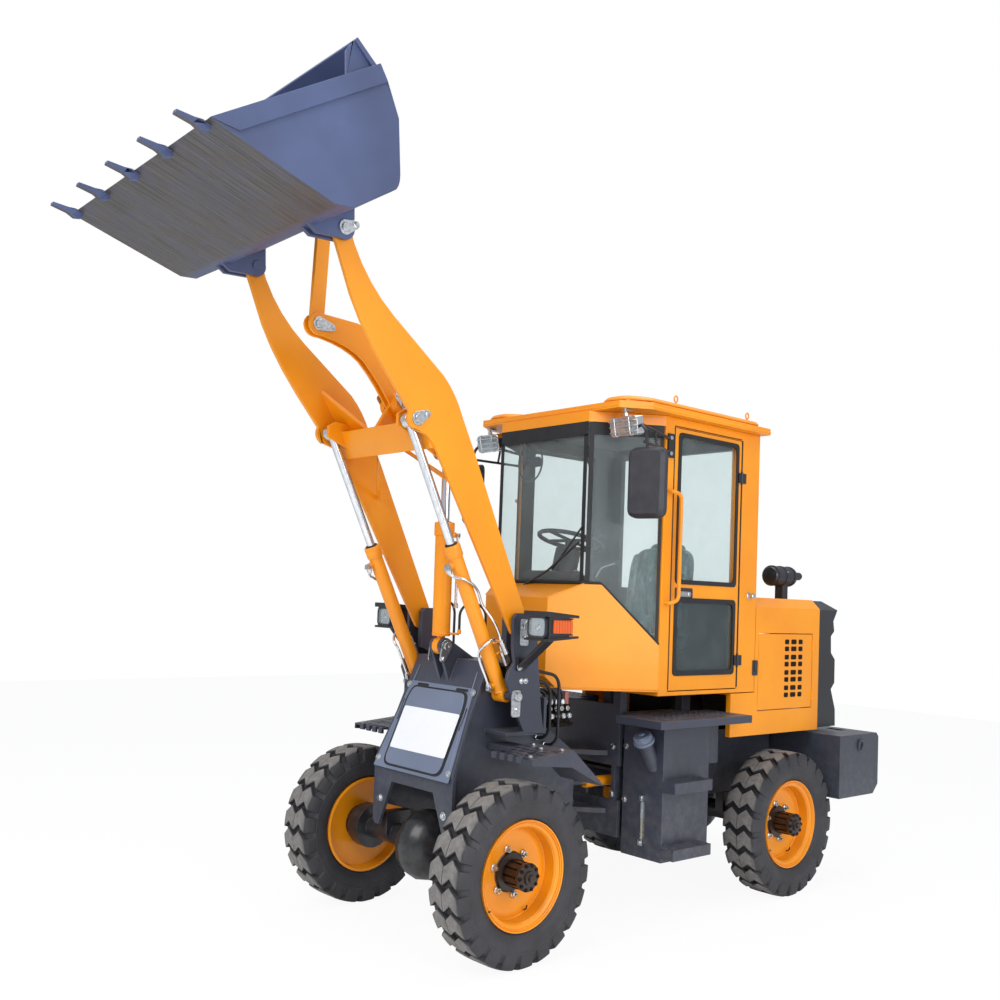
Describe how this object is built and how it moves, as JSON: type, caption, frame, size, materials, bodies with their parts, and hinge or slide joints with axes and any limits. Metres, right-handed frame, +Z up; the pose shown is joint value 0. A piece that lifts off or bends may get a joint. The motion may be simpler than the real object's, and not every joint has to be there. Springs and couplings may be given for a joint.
{
  "type": "articulated wheel loader",
  "caption": "Articulated wheel loader with a high lift arm, rocker and bucket, hinged frames, glazed cab with an opening door and an engine hood with side doors.",
  "frame": {"origin": "bottom centre of the bounding box, on the ground", "axes": "+X forward, +Y to the left, +Z up"},
  "size_m": [5.046, 1.6462, 4.058],
  "materials": {
    "yellow_paint": "semi-gloss golden yellow enamel",
    "slate_paint": "satin dark slate grey enamel",
    "bucket_paint": "satin slate blue enamel",
    "tyre_rubber": "matt black rubber",
    "chrome_rod": "hard chrome",
    "tinted_glass": "lightly tinted",
    "black_plastic": "grained black",
    "cast_metal": "black painted casting",
    "seat_vinyl": "dark green cloth under clear film"
  },
  "bodies": {
    "rear_frame": {"rear_frame": "slate_paint", "rear_axle": "cast_metal", "engine": "cast_metal", "hood": "yellow_paint", "rear_fascia": "black_plastic", "counterweight": "slate_paint", "left_tank": "slate_paint", "right_tank": "slate_paint", "cab_shell": "yellow_paint", "cab_cowl": "yellow_paint", "windshield": "tinted_glass", "cab_roof": "yellow_paint", "right_upper_glass": "tinted_glass", "rear_glass": "tinted_glass", "seat_base": "black_plastic", "seat": "seat_vinyl", "steering_column": "black_plastic", "lever_console": "black_plastic", "left_mirror": "black_plastic", "right_mirror": "black_plastic", "air_cleaner": "black_plastic"},
    "cab_door": {"cab_door": "yellow_paint", "door_upper_glass": "tinted_glass"},
    "left_hood_door": {"left_hood_door": "yellow_paint"},
    "right_hood_door": {"right_hood_door": "yellow_paint"},
    "front_frame": {"front_frame": "slate_paint", "front_axle": "cast_metal", "left_fender": "slate_paint", "left_headlamp": "black_plastic", "left_lift_hose_1": "tyre_rubber", "left_lift_hose_2": "tyre_rubber", "left_tilt_hose": "tyre_rubber", "right_fender": "slate_paint", "right_headlamp": "black_plastic", "right_lift_hose_1": "tyre_rubber", "right_lift_hose_2": "tyre_rubber", "right_tilt_hose": "tyre_rubber"},
    "boom": {"boom": "yellow_paint"},
    "bucket": {"bucket": "bucket_paint"},
    "rocker": {"rocker": "yellow_paint"},
    "bucket_link": {"bucket_link": "yellow_paint"},
    "tilt_barrel": {"tilt_barrel": "yellow_paint"},
    "tilt_rod": {"tilt_rod": "chrome_rod"},
    "rear_left_wheel": {"rear_left_tyre": "tyre_rubber", "rear_left_rim": "yellow_paint"},
    "front_left_wheel": {"front_left_tyre": "tyre_rubber", "front_left_rim": "yellow_paint"},
    "left_steer_barrel": {"left_steer_barrel": "yellow_paint"},
    "left_steer_rod": {"left_steer_rod": "chrome_rod"},
    "left_lift_barrel": {"left_lift_barrel": "yellow_paint"},
    "left_lift_rod": {"left_lift_rod": "chrome_rod"},
    "rear_right_wheel": {"rear_right_tyre": "tyre_rubber", "rear_right_rim": "yellow_paint"},
    "front_right_wheel": {"front_right_tyre": "tyre_rubber", "front_right_rim": "yellow_paint"},
    "right_steer_barrel": {"right_steer_barrel": "yellow_paint"},
    "right_steer_rod": {"right_steer_rod": "chrome_rod"},
    "right_lift_barrel": {"right_lift_barrel": "yellow_paint"},
    "right_lift_rod": {"right_lift_rod": "chrome_rod"}
  },
  "joints": [
    {"name": "steer", "type": "hinge", "parent": "rear_frame", "child": "front_frame", "pos_m": [-0.338, 0, 0.85], "axis": [0, 0, 1], "range_deg": [-35, 35]},
    {"name": "front_left_wheel", "type": "hinge", "parent": "front_frame", "child": "front_left_wheel", "pos_m": [0.627, 0.643, 0.4325], "axis": [0, 1, 0], "continuous": true},
    {"name": "rear_left_wheel", "type": "hinge", "parent": "rear_frame", "child": "rear_left_wheel", "pos_m": [-1.603, 0.643, 0.4325], "axis": [0, 1, 0], "continuous": true},
    {"name": "front_right_wheel", "type": "hinge", "parent": "front_frame", "child": "front_right_wheel", "pos_m": [0.627, -0.643, 0.4325], "axis": [0, 1, 0], "continuous": true},
    {"name": "rear_right_wheel", "type": "hinge", "parent": "rear_frame", "child": "rear_right_wheel", "pos_m": [-1.603, -0.643, 0.4325], "axis": [0, 1, 0], "continuous": true},
    {"name": "boom", "type": "hinge", "parent": "front_frame", "child": "boom", "pos_m": [0.417, 0, 1.6], "axis": [0, -1, 0], "range_deg": [-95, 0]},
    {"name": "bucket", "type": "hinge", "parent": "boom", "child": "bucket", "pos_m": [1.598, 0, 3.36], "axis": [0, -1, 0], "range_deg": [-55, 75]},
    {"name": "rocker", "type": "hinge", "parent": "boom", "child": "rocker", "pos_m": [0.957, 0, 2.7], "axis": [0, -1, 0], "range_deg": [-25, 18]},
    {"name": "link", "type": "hinge", "parent": "rocker", "child": "bucket_link", "pos_m": [1.457, 0, 3.023], "axis": [0, -1, 0], "range_deg": [-40, 54]},
    {"name": "left_lift_barrel_hinge", "type": "hinge", "parent": "front_frame", "child": "left_lift_barrel", "pos_m": [0.457, 0.341, 1.24], "axis": [0, -1, 0], "range_deg": [-91, 1]},
    {"name": "left_lift_rod_slide", "type": "slide", "parent": "left_lift_barrel", "child": "left_lift_rod", "axis": [0.4488, 0, 0.8936], "range_m": [-0.53, 0.01]},
    {"name": "right_lift_barrel_hinge", "type": "hinge", "parent": "front_frame", "child": "right_lift_barrel", "pos_m": [0.457, -0.341, 1.24], "axis": [0, -1, 0], "range_deg": [-91, 1]},
    {"name": "right_lift_rod_slide", "type": "slide", "parent": "right_lift_barrel", "child": "right_lift_rod", "axis": [0.4488, 0, 0.8936], "range_m": [-0.53, 0.01]},
    {"name": "tilt_barrel_hinge", "type": "hinge", "parent": "front_frame", "child": "tilt_barrel", "pos_m": [0.597, 0, 1.47], "axis": [0, -1, 0], "range_deg": [-102, 1]},
    {"name": "tilt_rod_slide", "type": "slide", "parent": "tilt_barrel", "child": "tilt_rod", "axis": [0.0097, 0, 1], "range_m": [-0.325, 0.01]},
    {"name": "left_steer_barrel_hinge", "type": "hinge", "parent": "rear_frame", "child": "left_steer_barrel", "pos_m": [-0.688, 0.19, 0.7], "axis": [0, 0, 1], "range_deg": [-13, 13]},
    {"name": "left_steer_rod_slide", "type": "slide", "parent": "left_steer_barrel", "child": "left_steer_rod", "axis": [0.9984, -0.0565, 0], "range_m": [-0.125, 0.125]},
    {"name": "right_steer_barrel_hinge", "type": "hinge", "parent": "rear_frame", "child": "right_steer_barrel", "pos_m": [-0.688, -0.19, 0.7], "axis": [0, 0, 1], "range_deg": [-13, 13]},
    {"name": "right_steer_rod_slide", "type": "slide", "parent": "right_steer_barrel", "child": "right_steer_rod", "axis": [0.9984, 0.0565, 0], "range_m": [-0.125, 0.125]},
    {"name": "cab_door_hinge", "type": "hinge", "parent": "rear_frame", "child": "cab_door", "pos_m": [-1.188, 0.605, 1.255], "axis": [0, 0, 1], "range_deg": [0, 100]},
    {"name": "left_hood_door_hinge", "type": "hinge", "parent": "rear_frame", "child": "left_hood_door", "pos_m": [-2.008, 0.605, 1.113], "axis": [0, 0, 1], "range_deg": [0, 100]},
    {"name": "right_hood_door_hinge", "type": "hinge", "parent": "rear_frame", "child": "right_hood_door", "pos_m": [-2.008, -0.605, 1.113], "axis": [0, 0, -1], "range_deg": [0, 100]}
  ],
  "couplings": [
    {"joint": "rocker", "follows": "bucket", "ratio": -0.28},
    {"joint": "link", "follows": "bucket", "ratio": 0.7},
    {"joint": "tilt_barrel_hinge", "follows": "boom", "ratio": 1.0587},
    {"joint": "tilt_rod_slide", "follows": "boom", "m_per_rad": 0.19095},
    {"joint": "left_lift_barrel_hinge", "follows": "boom", "ratio": 0.9449},
    {"joint": "left_lift_rod_slide", "follows": "boom", "m_per_rad": 0.31529},
    {"joint": "left_steer_barrel_hinge", "follows": "steer", "ratio": 0.309},
    {"joint": "left_steer_rod_slide", "follows": "steer", "m_per_rad": -0.1662},
    {"joint": "right_lift_barrel_hinge", "follows": "boom", "ratio": 0.9449},
    {"joint": "right_lift_rod_slide", "follows": "boom", "m_per_rad": 0.31529},
    {"joint": "right_steer_barrel_hinge", "follows": "steer", "ratio": 0.309},
    {"joint": "right_steer_rod_slide", "follows": "steer", "m_per_rad": 0.1662}
  ]
}
